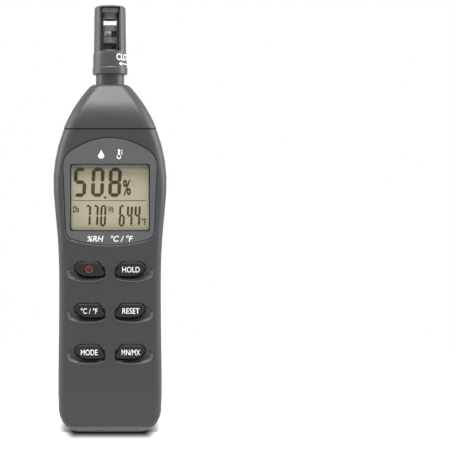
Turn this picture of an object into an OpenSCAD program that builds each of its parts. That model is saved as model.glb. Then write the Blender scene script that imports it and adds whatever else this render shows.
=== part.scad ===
// Handheld humidity meter: a slim moulded case with a display, six keys and a slotted sensor probe.
// Millimetres. Z runs up the length, the bottom end stands on z = 0, the display faces -Y.

/* [Case] */
// Height of the moulded case, from the bottom end to the seat of the probe
body_h = 142.8; // [140:0.2:148]
// Greatest width, across the display
body_w = 46.8; // [45:0.2:50]
// Greatest thickness, at the display
body_t = 33; // [32:0.2:38]
// Width at the waist of the grip
grip_w = 42; // [41.4:0.2:44]
// Width at the foot of the grip
foot_w = 43; // [42:0.2:45]
// Thickness of the grip
grip_t = 27; // [26.4:0.2:29]
// How far the widest place lies below the seat of the probe
wide_drop = 41.1; // [39:0.5:44]
// Height of the waist
waist_z = 46; // [42:0.5:52]
// Radius of the shoulders, seen from the front
head_r = 61.5; // [60:0.5:66]
// Radius of the two corners at the foot
foot_r = 8.8; // [7:0.1:9.6]
// Radius of the edge round the foot, seen from the side
foot_edge_r = 3; // [2:0.1:4]
// Wall of the three case mouldings
wall = 2; // [1.8:0.1:2.4]
// Height of the nose cover above its seam
nose_h = 18.9; // [17:0.1:20]
// Lean of the nose's front face
nose_lean = 32; // [30:1:34]
// Where the seam between the front and rear covers lies, measured forward of the middle
split_y = 6.5; // [5.5:0.1:7]
// How far the front cover steps in from the rear cover at the seam
seam_step = 0.35; // [0.2:0.05:0.5]
// Gap of the seam under the nose cover
seam_gap = 0.45; // [0.2:0.05:0.5]
// Thickness of the display face above its wall
face_extra = 0.5; // [0.3:0.1:0.8]

/* [Display] */
// Land of the case beside the display panel
lens_land = 4.2; // [4:0.1:4.8]
// Height of the display panel
lens_h = 43.8; // [42.6:0.1:44.6]
// Land of the case between the display panel and the nose's seam
lens_gap = 3.3; // [2.9:0.1:3.9]
// Radius of the panel's upper edge
lens_top_r = 25.9; // [25:0.1:28]
// Radius of the panel's lower edge
lens_bottom_r = 51.6; // [46:0.2:60]
// Thickness of the panel round the window
mask_t = 1; // [0.8:0.1:1.1]
// Thickness of the clear lens behind the panel
lens_t = 1; // [0.8:0.1:1]
// How far the panel sits below the face
lens_recess = 0.25; // [0.1:0.05:0.4]
// Radius of the panel's eased edge
lens_ease = 0.6; // [0.3:0.1:0.7]
// Width of the chamfer round the panel's pocket
pocket_chamfer = 0.45; // [0.2:0.05:0.6]
// Width of the panel's border at each side of the window
border_w = 2.95; // [2.8:0.05:4]
// Height of the panel's border under the window
border_h = 5.65; // [5.3:0.05:6.4]
// Height of the window
window_h = 27.5; // [26:0.1:28.4]
// Thickness of the liquid crystal glass
lcd_t = 2.4; // [2:0.1:2.8]
// Depth of the liquid crystal glass behind the face
lcd_depth = 2.9; // [2.7:0.1:3.2]

/* [Keys] */
// How far the middle of the top row lies below the display panel
key_drop = 9.85; // [9.4:0.05:10.6]
// Pitch of the rows
key_pitch = 16.95; // [16.3:0.05:17.6]
// Sideways shift of each column's keys
key_x = 0; // [-0.3:0.1:0.4]
// How far a key stands above the face
key_proud = 1.1; // [0.6:0.1:1.4]
// Travel of a key
key_travel = 1; // [0.6:0.1:1.1]
// Gap round a key
key_gap = 0.35; // [0.25:0.05:0.45]
// How much wider the gap is under a key
key_room = 0.5; // [0.2:0.05:0.6]
// Depth of the finger dish round a key
dish_depth = 1.5; // [1:0.05:1.6]
// Height of the finger dish
dish_h = 7.4; // [7:0.1:8]
// Length of the finger dish
dish_w = 15.4; // [15:0.1:16.4]

/* [Probe] */
// Height of the probe above the case, to the top of the guard sleeve
probe_h = 33; // [31:0.2:38]
// Diameter of the neck between the case and the sleeve
neck_d = 11.8; // [11.4:0.1:12.2]
// Length of the neck that shows
neck_h = 4.4; // [3.8:0.1:5.4]
// Diameter of the cage's two bands, which guide the sleeve
cage_d = 10.6; // [10.2:0.1:10.8]
// Diameter of the slotted cage between its bands
slot_d = 8; // [7.8:0.1:8.4]
// Wall of the cage
cage_wall = 0.7; // [0.6:0.1:0.8]
// Running gap between the cage and the sleeve, measured on the radius
cage_fit = 0.1; // [0.06:0.01:0.1]
// Height of one slot in the cage
slot_h = 2.5; // [1.6:0.1:2.8]
// Pitch of the slots
slot_pitch = 5; // [4.6:0.05:5.2]
// Slots on each side of the cage
slot_count = 3; // [2:1:3]
// Half angle that a slot covers
slot_angle = 54; // [45:1:56]
// Diameter of the sleeve at its top
sleeve_d = 13; // [12.9:0.1:13.8]
// Diameter of the collar at its lower edge
collar_d = 14.6; // [14.4:0.1:15.4]
// Height of the collar
collar_h = 9.7; // [9:0.1:11]
// Half angle that a window in the sleeve covers
window_angle = 41.6; // [38:0.2:44]
// Thickness of the sleeve's closed top
cap_t = 0.7; // [0.6:0.1:1]

/* [Power] */
// Diameter of a cell
cell_d = 10.5; // [10.3:0.1:10.5]
// Length of a cell with its nub
cell_h = 44.5; // [43.5:0.1:44.5]
// Height of the cells' lower ends
cell_z = 15.4; // [15:0.1:17]
// Room for a spring at one end of each cell
spring_room = 4.6; // [4.2:0.1:5]
// Width of the battery door
door_w = 26.4; // [26:0.1:27.4]
// Height of the battery door's lower edge
door_low_z = 8; // [7:0.1:9]
// Height of the battery door's upper edge
door_high_z = 73; // [72:0.1:75]
// Gap round the battery door
door_gap = 0.3; // [0.2:0.05:0.4]

/* [Board] */
// Thickness of the circuit board
board_t = 1.6; // [1.2:0.1:1.8]
// Gap between the circuit board's edges and the case's greatest width
board_land = 5.4; // [5.2:0.1:6.2]
// Height of the board's lower edge
board_low_z = 15; // [14.5:0.5:17]
// Gap between the board's upper edge and the nose's seam
board_gap = 9.7; // [9.3:0.1:10.2]
// Depth of the board's front face, forward of the middle
board_y = 6.4; // [6.2:0.1:6.7]
// Diameter of the case screws' thread
case_screw_d = 2.2; // [2:0.1:2.5]
// Diameter of the board screws' thread
board_screw_d = 1.8; // [1.6:0.1:2]

/* [Hidden] */
wide_z = body_h - wide_drop;
nose_z = body_h - nose_h;
total_h = body_h + probe_h;
lens_w = body_w - 2 * lens_land;
lens_high_z = nose_z - lens_gap;
lens_low_z = lens_high_z - lens_h;
window_w = lens_w - 2 * border_w;
window_z = lens_low_z + border_h + window_h / 2;
key_row_z = lens_low_z - key_drop;
board_w = body_w - 2 * board_land;
board_high_z = nose_z - board_gap;
shell = [0.34, 0.34, 0.35];
dark = [0.2, 0.2, 0.21];
metal = [0.75, 0.75, 0.73];
seat = 0.1;
round_n = 96;

// The case outline: half width, front depth, back depth and edge radii at each height.
function slope(st, i) =
    let (a = max(i - 1, 0), b = min(i + 1, len(st) - 1))
    (st[b][1] - st[a][1]) / (st[b][0] - st[a][0]);
function span(st, z, i = 0) = (i >= len(st) - 2 || z < st[i + 1][0]) ? i : span(st, z, i + 1);
// A smooth curve through stations, each a height and a size
function curve(st, z) =
    let (i = span(st, z), h = st[i + 1][0] - st[i][0], t = (z - st[i][0]) / h)
    st[i][1] * (2 * t * t * t - 3 * t * t + 1) + st[i + 1][1] * (3 * t * t - 2 * t * t * t)
    + slope(st, i) * h * (t * t * t - 2 * t * t + t) + slope(st, i + 1) * h * (t * t * t - t * t);
// How far a circle of radius r has fallen away at a distance d from its crown
function fall(r, d) = r - sqrt(max(r * r - d * d, 0));

flare_z = waist_z + 28;
face_z = lens_low_z - 2;
foot_t = grip_t - 0.6;
width_stations = [[0, foot_w / 2 - 0.6], [foot_r * 2, foot_w / 2 - 0.1], [waist_z, grip_w / 2],
    [flare_z, grip_w / 2 + (body_w - grip_w) * 0.05], [wide_z, body_w / 2], [wide_z + 28, body_w / 2]];
front_stations = [[0, foot_t / 2], [waist_z, grip_t / 2], [key_row_z, body_t / 2 - key_proud],
    [face_z, body_t / 2 - 0.1], [wide_z, body_t / 2], [body_h, body_t / 2]];
back_stations = [[0, foot_t / 2], [waist_z, grip_t / 2], [flare_z, grip_t / 2 + 0.7],
    [wide_z, body_t / 2], [wide_z + 30, body_t / 2]];
edge_stations = [[0, 3.4], [waist_z, 3.6], [wide_z, 4.6], [nose_z, 5.6], [body_h, 3.6]];
nose_bend_h = nose_h * 0.66;
nose_r = nose_bend_h / sin(nose_lean);
neck_r = neck_d / 2;
nose_back_r = 98;

function half_w(z) = z > wide_z ? body_w / 2 - fall(head_r, z - wide_z) : curve(width_stations, z);
function nose_fall(h) = h < nose_bend_h ? fall(nose_r, max(h, 0))
    : fall(nose_r, nose_bend_h) + (h - nose_bend_h) * tan(nose_lean);
function front_d(z) = z > nose_z ? body_t / 2 - nose_fall(z - nose_z)
    : min(curve(front_stations, z), body_t / 2);
function back_d(z) = z > wide_z ? body_t / 2 - fall(nose_back_r, z - wide_z)
    : min(curve(back_stations, z), body_t / 2);
function edge_r(z) = curve(edge_stations, z);
// How much the round at an end draws a side in, at height h above that end
function end_round(r, h) = h < r ? fall(r, r - max(h, 0)) : 0;

// One quarter of a section: an arc about a corner's centre
function corner(cx, cy, r, a0, n) = [for (k = [0:n]) [cx + r * cos(a0 + 90 * k / n), cy + r * sin(a0 + 90 * k / n)]];
// The front half of a section at height z, drawn in by e at the sides and f at the face and foot
function front_ring(z, e, f, y_open, n = 8) =
    let (w = half_w(z) - e - end_round(foot_r - e, z - f),
        d = front_d(z) - f - end_round(foot_edge_r, z - f),
        r = max(edge_r(z) - e, 0.6))
    concat([[-w, y_open, z]], [for (p = corner(-w + r, -d + r, r, 180, n)) [p[0], p[1], z]],
        [for (p = corner(w - r, -d + r, r, 270, n)) [p[0], p[1], z]], [[w, y_open, z]]);
// The rear half, whose edges are rounder
function rear_ring(z, e, y_open, n = 8) =
    let (w = half_w(z) - e - end_round(foot_r - e, z - e),
        d = back_d(z) - e - end_round(foot_edge_r, z - e),
        r = max(edge_r(z) + 2 - e, 0.6))
    concat([[w, y_open, z]], [for (p = corner(w - r, d - r, r, 0, n)) [p[0], p[1], z]],
        [for (p = corner(-w + r, d - r, r, 90, n)) [p[0], p[1], z]], [[-w, y_open, z]]);
// A whole section, for the nose
function whole_ring(z, e, top_round, n = 7) =
    let (t = end_round(top_round, body_h - z), w = half_w(z) - e - t, f = front_d(z) - e - t,
        b = back_d(z) - e - t, r = min(edge_r(z) + (z - nose_z) * 0.05 - e - t, w - 0.2, f - 0.2, b - 0.2),
        q = min(r + 2 * (body_h - z) / (body_h - nose_z), w - 0.2))
    concat([for (p = corner(-w + r, -f + r, r, 180, n)) [p[0], p[1], z]],
        [for (p = corner(w - r, -f + r, r, 270, n)) [p[0], p[1], z]],
        [for (p = corner(w - q, b - q, q, 0, n)) [p[0], p[1], z]],
        [for (p = corner(-w + q, b - q, q, 90, n)) [p[0], p[1], z]]);

// Skins a stack of rings that all have as many points
module loft(rings) {
    n = len(rings[0]);
    m = len(rings);
    polyhedron(
        points = [for (ring = rings) each ring],
        faces = concat(
            [[for (i = [0:n - 1]) i]],
            [[for (i = [n - 1:-1:0]) (m - 1) * n + i]],
            [for (k = [0:m - 2], i = [0:n - 1])
                let (j = (i + 1) % n) [k * n + i, (k + 1) * n + i, (k + 1) * n + j]],
            [for (k = [0:m - 2], i = [0:n - 1])
                let (j = (i + 1) % n) [k * n + i, (k + 1) * n + j, k * n + j]]));
}

// Heights of the sections: close together in the foot's round, then even steps
function cover_heights(e, top) = concat(
    [for (k = [0:6]) e + (foot_r - e) * (1 - cos(15 * k))],
    [for (k = [1:18]) foot_r + (top - foot_r) * k / 18]);
function cavity_heights(e, top) = concat(
    [for (k = [0:2:6]) e + (foot_r - e) * (1 - cos(15 * k))],
    [for (k = [1:12]) foot_r + (top - foot_r) * k / 12]);

// An outline with rounded corners: each vertex is x, y and its radius
function unit(v) = v / norm(v);
function round_corner(p, q, s, n) =
    let (u = unit([p[0] - q[0], p[1] - q[1]]), v = unit([s[0] - q[0], s[1] - q[1]]),
        half = acos(u * v) / 2, r = q[2], c = [q[0], q[1]] + unit(u + v) * r / sin(half),
        a = [q[0], q[1]] + u * r / tan(half) - c, b = [q[0], q[1]] + v * r / tan(half) - c,
        a0 = atan2(a[1], a[0]), turn = (atan2(b[1], b[0]) - a0 + 540) % 360 - 180)
    [for (k = [0:n]) c + r * [cos(a0 + turn * k / n), sin(a0 + turn * k / n)]];
function rounded(pts, n = 5) = [for (i = [0:len(pts) - 1])
    each round_corner(pts[(i + len(pts) - 1) % len(pts)], pts[i], pts[(i + 1) % len(pts)], n)];
function box_outline(w, h, r) = rounded([[-w / 2, -h / 2, r], [w / 2, -h / 2, r], [w / 2, h / 2, r],
    [-w / 2, h / 2, r]]);

// Stands an outline drawn in x and z up, from y = front back to y = back
module upright(front, back) {
    translate([0, back, 0])
        rotate([90, 0, 0])
            linear_extrude(height = back - front)
                children();
}
// A round bar along Y
module rod_y(x, z, d, front, back) {
    translate([x, back, z])
        rotate([90, 0, 0])
            cylinder(d = d, h = back - front, $fn = round_n);
}

// Display sizes
face_y = -body_t / 2;
mask_front = face_y + lens_recess;
mask_back = mask_front + mask_t;
lens_lap = 1.4;
lens_round = 1.5;
lcd_front = face_y + lcd_depth;
lcd_back = lcd_front + lcd_t;
lcd_gap = 0.15;
holder_lip = 0.45;
lcd_w = window_w + 3;
lcd_h = window_h + 4.6;
frame_w = lcd_w + 2.4;
frame_h = lcd_h + 2.4;
frame_room = 0.1;
lens_top_z0 = lens_high_z - lens_top_r;
lens_bottom_z0 = lens_low_z + lens_bottom_r;
top_half = lens_w / 2 - 6.9;
bottom_half = lens_w / 2 - 5.9;
top_edge_z = lens_top_z0 + sqrt(pow(lens_top_r, 2) - pow(top_half, 2));
bottom_edge_z = lens_bottom_z0 - sqrt(pow(lens_bottom_r, 2) - pow(bottom_half, 2));
top_tangent = top_half / sqrt(pow(lens_top_r, 2) - pow(top_half, 2));
bottom_tangent = bottom_half / sqrt(pow(lens_bottom_r, 2) - pow(bottom_half, 2));
// The lens is a shield: two long arcs joined by rounded corners and slightly tapered sides
function lens_outline(e) =
    let (x1 = lens_w / 2 + 0.2, x2 = lens_w / 2 - 1.2,
        up = [x1 - e, top_edge_z - (x1 - top_half) * top_tangent - e, 8 - e],
        low = [x2 - e, bottom_edge_z + (x2 - bottom_half) * bottom_tangent + e, 4 - e],
        a = asin(top_half / lens_top_r), b = asin(bottom_half / lens_bottom_r),
        top_in = [lens_top_r * sin(a), top_edge_z - e], low_in = [bottom_half, bottom_edge_z + e])
    concat(round_corner(low_in, low, up, 5), round_corner(low, up, top_in, 7),
        [for (k = [-4:4]) let (t = -a * k / 4) [lens_top_r * sin(t), lens_top_z0 + lens_top_r * cos(t) - e]],
        [for (p = round_corner(top_in, up, low, 7)) [-p[0], p[1]]],
        [for (p = round_corner(up, low, low_in, 5)) [-p[0], p[1]]],
        [for (k = [-4:4]) let (t = b * k / 4)
            [lens_bottom_r * sin(t), lens_bottom_z0 - lens_bottom_r * cos(t) + e]]);

// Key sizes
flange_t = 0.7;
flange_lip = 0.9;
dome_gap = 0.3;
mat_t = 1;
mat_front = -board_y - seat - mat_t;
dome_h = 0.7;
plunger_d = 5.4;
key_back = mat_front - dome_h - dome_gap - key_travel;
key_side_x = 8.9;
function row_z(i) = key_row_z - floor(i / 2) * key_pitch;
function side(i) = i % 2 == 0 ? -1 : 1;
function key_face(i) = -front_d(row_z(i));
function key_inner(i) = -(front_d(row_z(i) - 5) - wall - face_extra);
// A key's outline about its own middle, for the right column, grown by e
function key_outline(e) = rounded([
    [-7.1 - e * 1.6, -2.45 - e, 0.9 + e], [-0.6, -2.75 - e, 14], [2.9 + e * 0.3, -2.4 - e, 5.4 + e],
    [5.95 + e, 0.6, 1.6 + e], [4.3 + e * 0.4, 2.95 + e, 1.8 + e], [-4.4 - e * 0.6, 2.95 + e, 1.2 + e]], 4);
module key_shape(i, e) {
    translate([side(i) * (key_side_x + key_x), row_z(i)])
        mirror([side(i) < 0 ? 1 : 0, 0])
            hull() {
                polygon(key_outline(e));
                translate([0, -key_room])
                    polygon(key_outline(e));
            }
}
// The spindle that scoops a finger dish out of the face
dish_r = 5;
dish_axis = dish_r - dish_depth;
dish_shift = 0.85;
dish_stretch = dish_h / (2 * sqrt(dish_r * dish_r - dish_axis * dish_axis));
module dish(i) {
    translate([side(i) * (key_side_x + key_x + dish_shift), key_face(i) - dish_axis * dish_stretch,
        row_z(i) - dish_shift])
        rotate([0, 90, 0])
            scale(dish_stretch)
                rotate_extrude($fn = 72)
                    polygon(concat([[0, -dish_w / 2 / dish_stretch]],
                        [for (k = [-9:9]) [dish_axis + dish_depth * sqrt(cos(10 * k)),
                            dish_w / 2 / dish_stretch * sin(10 * k)]],
                        [[0, dish_w / 2 / dish_stretch]]));
}

// Fasteners and bosses
case_boss_d = 5.2;
case_low_x = foot_w / 2 - 5.9;
case_low_z = 10.6;
case_high_x = body_w / 2 - 8.2;
case_high_z = nose_z - 6.3;
case_spots = [[-case_low_x, case_low_z], [case_low_x, case_low_z], [-case_high_x, case_high_z],
    [case_high_x, case_high_z]];
case_head_d = case_screw_d + 2;
head_sink = 2.2;
thread_grip = 4.2;
board_post_d = 3.6;
board_post_x = board_w / 2 - 2.4;
board_post_high = row_z(0) - key_pitch / 2;
board_post_low = board_low_z + 11.4;
board_spots = [[-board_post_x, board_post_high], [board_post_x, board_post_high],
    [-board_post_x, board_post_low], [board_post_x, board_post_low]];
board_back = -board_y + board_t;

// Battery bay sizes
cell_y = grip_t / 2 - wall - 0.5 - cell_d / 2;
cell_pitch = cell_d + 0.6;
bay_wall = 1.4;
bay_w = 2 * cell_d + 1.4;
plate_t = 0.4;
bay_low_z = cell_z - spring_room - plate_t;
bay_high_z = cell_z + cell_h + spring_room + plate_t;
bay_floor_y = cell_y - cell_d / 2 - 0.3;
door_seat_y = grip_t / 2 - wall;
door_mid = (door_low_z + door_high_z) / 2;
ledge_t = 1.2;
ledge_w = 1.6;
door_screw_z = door_high_z - 3.2;
door_boss_d = 5;

// Probe sizes
cage_r = cage_d / 2;
slot_r = slot_d / 2;
cage_in = slot_r - cage_wall;
bore_r = cage_r + cage_fit;
neck_top = body_h + neck_h;
shoulder_z = neck_top + 1.5;
collar_top = neck_top + collar_h;
cage_top = total_h - cap_t - 0.15;
slot_mid = total_h - 11.9;
band_h = 2;
stem_d = 9.4;
stem_low = body_h - 8.4;
nut_t = 3;
nose_top_t = 3;

module front_cover() {
    color(shell)
        difference() {
            union() {
                difference() {
                    loft([for (z = cover_heights(0, nose_z)) front_ring(z, seam_step, 0, -split_y)]);
                    loft([for (z = cavity_heights(wall + face_extra, nose_z + 1))
                        front_ring(z, wall + face_extra, wall + face_extra, -split_y + 1, 4)]);
                }
                for (s = case_spots)
                    rod_y(s[0], s[1], case_boss_d, -front_d(s[1]) + 1.2, -split_y);
                for (s = board_spots)
                    rod_y(s[0], s[1], board_post_d, -front_d(s[1]) + 1.2, -board_y);
            }
            loft([for (s = [[mask_back, 0.1], [face_y + pocket_chamfer, 0.1], [face_y, 0.1 + pocket_chamfer],
                [face_y - 1, 1.1 + pocket_chamfer]]) [for (p = lens_outline(-s[1])) [p[0], s[0], p[1]]]]);
            upright(face_y - 1, face_y + wall + face_extra + 1)
                translate([0, window_z])
                    polygon(box_outline(window_w + 2 * lens_lap + 0.2, window_h + 2 * lens_lap + 0.2,
                        lens_round));
            upright(face_y + wall + face_extra, -split_y + 1)
                translate([0, window_z])
                    polygon(box_outline(frame_w + 2 * frame_room, frame_h + 2 * frame_room, 1.5));
            for (i = [0:5]) {
                upright(face_y - 1, key_inner(i) + 2)
                    key_shape(i, key_gap);
                dish(i);
            }
            for (s = case_spots)
                rod_y(s[0], s[1], case_screw_d - 0.1, -split_y - 4.6, -split_y + 1);
            for (s = board_spots)
                rod_y(s[0], s[1], board_screw_d - 0.1, -board_y - 3.2, -board_y + 1);
        }
}

module rear_cover() {
    opening_w = door_w + 2 * door_gap;
    opening_h = door_high_z - door_low_z + 2 * door_gap;
    color(shell)
        difference() {
            union() {
                difference() {
                    loft([for (z = cover_heights(0, nose_z)) rear_ring(z, 0, -split_y)]);
                    loft([for (z = cavity_heights(wall, nose_z + 1)) rear_ring(z, wall, -split_y - 1, 4)]);
                }
                translate([-bay_w / 2 - bay_wall, bay_floor_y - bay_wall, bay_low_z - bay_wall])
                    cube([bay_w + 2 * bay_wall, door_seat_y - bay_floor_y + bay_wall,
                        bay_high_z - bay_low_z + 2 * bay_wall]);
                upright(door_seat_y - ledge_t, door_seat_y + 0.6)
                    translate([0, door_mid])
                        polygon(box_outline(opening_w + 2 * ledge_w, opening_h + 2 * ledge_w, 3));
                rod_y(0, door_screw_z, door_boss_d, door_seat_y - 6, door_seat_y);
                for (s = case_spots)
                    rod_y(s[0], s[1], case_boss_d, -split_y, back_d(s[1]) - 1.2);
            }
            translate([-bay_w / 2, bay_floor_y, bay_low_z])
                cube([bay_w, body_t, bay_high_z - bay_low_z]);
            upright(door_seat_y, body_t)
                translate([0, door_mid])
                    polygon(box_outline(opening_w, opening_h, 2));
            rod_y(0, door_screw_z, board_screw_d - 0.1, door_seat_y - 5, body_t);
            for (s = case_spots) {
                rod_y(s[0], s[1], case_screw_d + 0.3, -split_y - 1, body_t);
                rod_y(s[0], s[1], case_head_d + 0.4, back_d(s[1]) - head_sink - 1.6, body_t);
            }
        }
}

module nose_cover() {
    low = nose_z + seam_gap;
    crown = 1.2;
    lip_h = 2.6;
    lip = wall + face_extra + 0.3;
    lip_in = lip + 1.2;
    heights = concat([for (k = [0:11]) low + (body_h - crown - low) * k / 11],
        [for (k = [1:4]) body_h - crown + crown * sin(22.5 * k)]);
    inside_low = low + 4.5;
    inside = concat([[nose_z - lip_h - 1, lip_in], [low + 2.5, lip_in]],
        [for (k = [0:6]) [inside_low + (body_h - nose_top_t - inside_low) * k / 6, wall]]);
    color(shell)
        difference() {
            union() {
                loft([for (z = heights) whole_ring(z, 0, crown)]);
                loft([for (z = [nose_z - lip_h, low + 1, low + 3]) whole_ring(z, lip, 0)]);
            }
            loft([for (s = inside) whole_ring(s[0], s[1], 0, 5)]);
            translate([0, 0, body_h - nose_top_t - 1])
                cylinder(d = stem_d + 0.1, h = nose_top_t + 2, $fn = round_n);
        }
}

module display_lens() {
    color([0.6, 0.65, 0.7, 0.5])
        upright(mask_back, mask_back + lens_t)
            translate([0, window_z])
                polygon(box_outline(window_w + 2 * lens_lap, window_h + 2 * lens_lap, lens_round));
}

// The grey panel: its outer edge is rounded over, and the window is cut through it
module lens_mask() {
    rounds = concat([[mask_back, 0]],
        [for (k = [0:4]) [mask_front + lens_ease * (1 - sin(22.5 * k)), lens_ease * (1 - cos(22.5 * k))]]);
    color([0.42, 0.42, 0.45])
        difference() {
            loft([for (s = rounds) [for (p = lens_outline(s[1])) [p[0], s[0], p[1]]]]);
            upright(mask_front - 1, mask_back + 1)
                translate([0, window_z])
                    polygon(box_outline(window_w, window_h, 1));
        }
}

module lcd_frame() {
    front = face_y + wall + face_extra + seat;
    color(dark)
        difference() {
            upright(front, -board_y - seat)
                translate([0, window_z])
                    polygon(box_outline(frame_w, frame_h, 1.5));
            upright(front - 1, lcd_front)
                translate([0, window_z])
                    polygon(box_outline(window_w - 2 * holder_lip, window_h - 2 * holder_lip, 1));
            upright(lcd_front, -board_y + 1)
                translate([0, window_z])
                    polygon(box_outline(lcd_w + 2 * lcd_gap, lcd_h + 2 * lcd_gap, 0.3));
        }
}

module lcd_glass() {
    color([0.66, 0.64, 0.52])
        upright(lcd_front, lcd_back)
            translate([0, window_z])
                polygon(box_outline(lcd_w, lcd_h, 0.2));
}

module lcd_reflector() {
    color([0.85, 0.85, 0.82])
        upright(lcd_back, lcd_back + 0.3)
            translate([0, window_z])
                polygon(box_outline(lcd_w, lcd_h - 6, 0.2));
}

strip_h = 2.2;
module contact_strips() {
    color([0.9, 0.6, 0.5])
        for (s = [-1, 1])
            upright(lcd_back, -board_y)
                translate([-lcd_w / 2 + 1, window_z + s * (lcd_h / 2 - strip_h / 2 - 0.2) - strip_h / 2])
                    square([lcd_w - 2, strip_h]);
}

module main_board() {
    mid = (board_low_z + board_high_z) / 2;
    color([0.1, 0.4, 0.2])
        difference() {
            upright(-board_y, board_back)
                translate([0, mid])
                    polygon(box_outline(board_w, board_high_z - board_low_z, 2.5));
            for (s = board_spots)
                rod_y(s[0], s[1], board_screw_d + 0.2, -board_y - 1, board_back + 1);
        }
}

chip_w = 10;
module controller_chip() {
    color(dark)
        upright(board_back, board_back + 1.6)
            translate([0, window_z - 16])
                polygon(box_outline(chip_w, chip_w, 0.3));
}

module board_parts() {
    color([0.55, 0.5, 0.4]) {
        for (k = [0:3])
            upright(board_back, board_back + 0.8)
                translate([-12.5, window_z - 19 + 3.2 * k])
                    square([2, 1.2]);
        upright(board_back, board_back + 1.4)
            translate([9.5, window_z - 20])
                polygon(rounded([[0, 0, 0.9], [2.4, 0, 0.9], [2.4, 6, 0.9], [0, 6, 0.9]]));
        rod_y(12, window_z - 6, 4, board_back, board_back + 5);
    }
}

buzzer_d = 12;
buzzer_h = 3.4;
buzzer_hole_d = 1.6;
module buzzer() {
    color(dark)
        difference() {
            rod_y(0, window_z, buzzer_d, board_back, board_back + buzzer_h);
            rod_y(0, window_z, buzzer_hole_d, board_back + buzzer_h - 1.4, board_back + buzzer_h + 1);
        }
}

module keypad_mat() {
    low = row_z(5) - 5.4;
    high = row_z(0) + 5.4;
    color([0.5, 0.5, 0.5])
        difference() {
            union() {
                upright(mat_front, mat_front + mat_t)
                    translate([0, (low + high) / 2])
                        polygon(box_outline(board_w - 1, high - low, 1.5));
                for (i = [0:5])
                    rod_y(side(i) * (key_side_x + key_x), row_z(i), 5, mat_front - dome_h, mat_front + 0.2);
            }
            for (s = board_spots)
                rod_y(s[0], s[1], board_post_d + 0.4, mat_front - 1, mat_front + mat_t + 1);
        }
}

// A key: a crowned cap through the cover, and a flange that the cover holds in
module key_cap(i) {
    top = key_face(i) - key_proud;
    rim = 0.8;
    flange_front = key_inner(i) + 0.15;
    x0 = side(i) * (key_side_x + key_x);
    insets = [[top - flange_front - 0.3, 0], [-rim, 0], [-0.45 * rim, 0.12], [-0.15 * rim, 0.36], [0, 0.8]];
    color(dark) {
        translate([x0, 0, row_z(i)])
            mirror([side(i) < 0 ? 1 : 0, 0, 0])
                rotate([90, 0, 0])
                    loft([for (s = insets) [for (p = key_outline(-s[1])) [p[0], p[1], -top + s[0]]]]);
        upright(flange_front, flange_front + flange_t)
            key_shape(i, flange_lip);
        rod_y(x0, row_z(i), plunger_d, flange_front, key_back);
    }
}
module key_power() { key_cap(0); }
module key_hold() { key_cap(1); }
module key_unit() { key_cap(2); }
module key_reset() { key_cap(3); }
module key_mode() { key_cap(4); }
module key_min_max() { key_cap(5); }

// A wedge from the axis outward, half angle a, facing -Y at turn 0
module wedge(a, r, z, h) {
    for (turn = [0, 180])
        translate([0, 0, z])
            rotate([0, 0, turn])
                linear_extrude(height = h)
                    polygon([[0, 0], [-r * tan(a), -r], [r * tan(a), -r]]);
}

module sensor_cage() {
    ring_z = neck_top + 4;
    low_band = collar_top - 0.4;
    high_band = cage_top - band_h;
    color(dark)
        difference() {
            rotate_extrude($fn = round_n)
                polygon([[cage_in + 0.2, stem_low], [stem_d / 2, stem_low], [stem_d / 2, body_h],
                    [neck_r, body_h], [neck_r, shoulder_z - 0.15], [cage_r, shoulder_z - 0.15],
                    [cage_r, ring_z - 0.5], [cage_r - 0.7, ring_z - 0.5], [cage_r - 0.7, ring_z + 0.5],
                    [cage_r, ring_z + 0.5], [cage_r, low_band - 0.3], [cage_r - 0.3, low_band],
                    [slot_r, low_band], [slot_r, high_band], [cage_r - 0.3, high_band],
                    [cage_r, high_band + 0.3], [cage_r, cage_top - 0.3], [cage_r - 0.3, cage_top],
                    [0, cage_top], [0, cage_top - 0.9], [cage_in, cage_top - 0.9],
                    [cage_in, shoulder_z], [cage_in + 0.2, shoulder_z - 0.4]]);
            for (k = [0:slot_count - 1])
                wedge(slot_angle, 5, slot_mid + (1 - k) * slot_pitch - slot_h / 2, slot_h);
        }
}

module sleeve_ring() {
    color([0.1, 0.1, 0.1])
        translate([0, 0, neck_top + 4])
            rotate_extrude($fn = round_n)
                translate([cage_r - 0.33, 0])
                    circle(d = 0.7, $fn = 24);
}

module sensor_sleeve() {
    top_r = sleeve_d / 2;
    low_r = top_r + 0.25;
    rim_r = collar_d / 2;
    waist_r = rim_r - 0.25;
    cap_round = 1.4;
    step_z = neck_top + 3.1;
    color(shell)
        difference() {
            rotate_extrude($fn = round_n)
                polygon(concat(
                    [[neck_r + cage_fit, neck_top], [rim_r - 0.5, neck_top], [rim_r - 0.15, neck_top + 0.15],
                    [rim_r, neck_top + 0.5], [rim_r, step_z - 0.3], [waist_r, step_z],
                    [waist_r, collar_top - 1.6], [waist_r - 0.15, collar_top - 0.9], [low_r, collar_top]],
                    [for (k = [0:6]) [top_r - cap_round * (1 - cos(15 * k)),
                        total_h - cap_round * (1 - sin(15 * k))]],
                    [[0, total_h], [0, total_h - cap_t], [bore_r, total_h - cap_t],
                    [bore_r, shoulder_z], [neck_r + cage_fit, shoulder_z]]));
            wedge(window_angle, 9, collar_top, total_h - cap_t - collar_top);
        }
}

module stem_nut() {
    color(metal)
        translate([0, 0, body_h - nose_top_t - nut_t])
            difference() {
                cylinder(d = 13, h = nut_t, $fn = 6);
                translate([0, 0, -1])
                    cylinder(d = stem_d + 0.04, h = nut_t + 2, $fn = round_n);
            }
}

sensor_board_t = 1;
sensor_board_w = 5.4;
sensor_board_low = body_h + 2;
sensor_board_high = slot_mid + 2.6;
module sensor_board() {
    color([0.1, 0.35, 0.2])
        translate([-sensor_board_w / 2, -sensor_board_t / 2, sensor_board_low])
            cube([sensor_board_w, sensor_board_t, sensor_board_high - sensor_board_low]);
}

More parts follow.
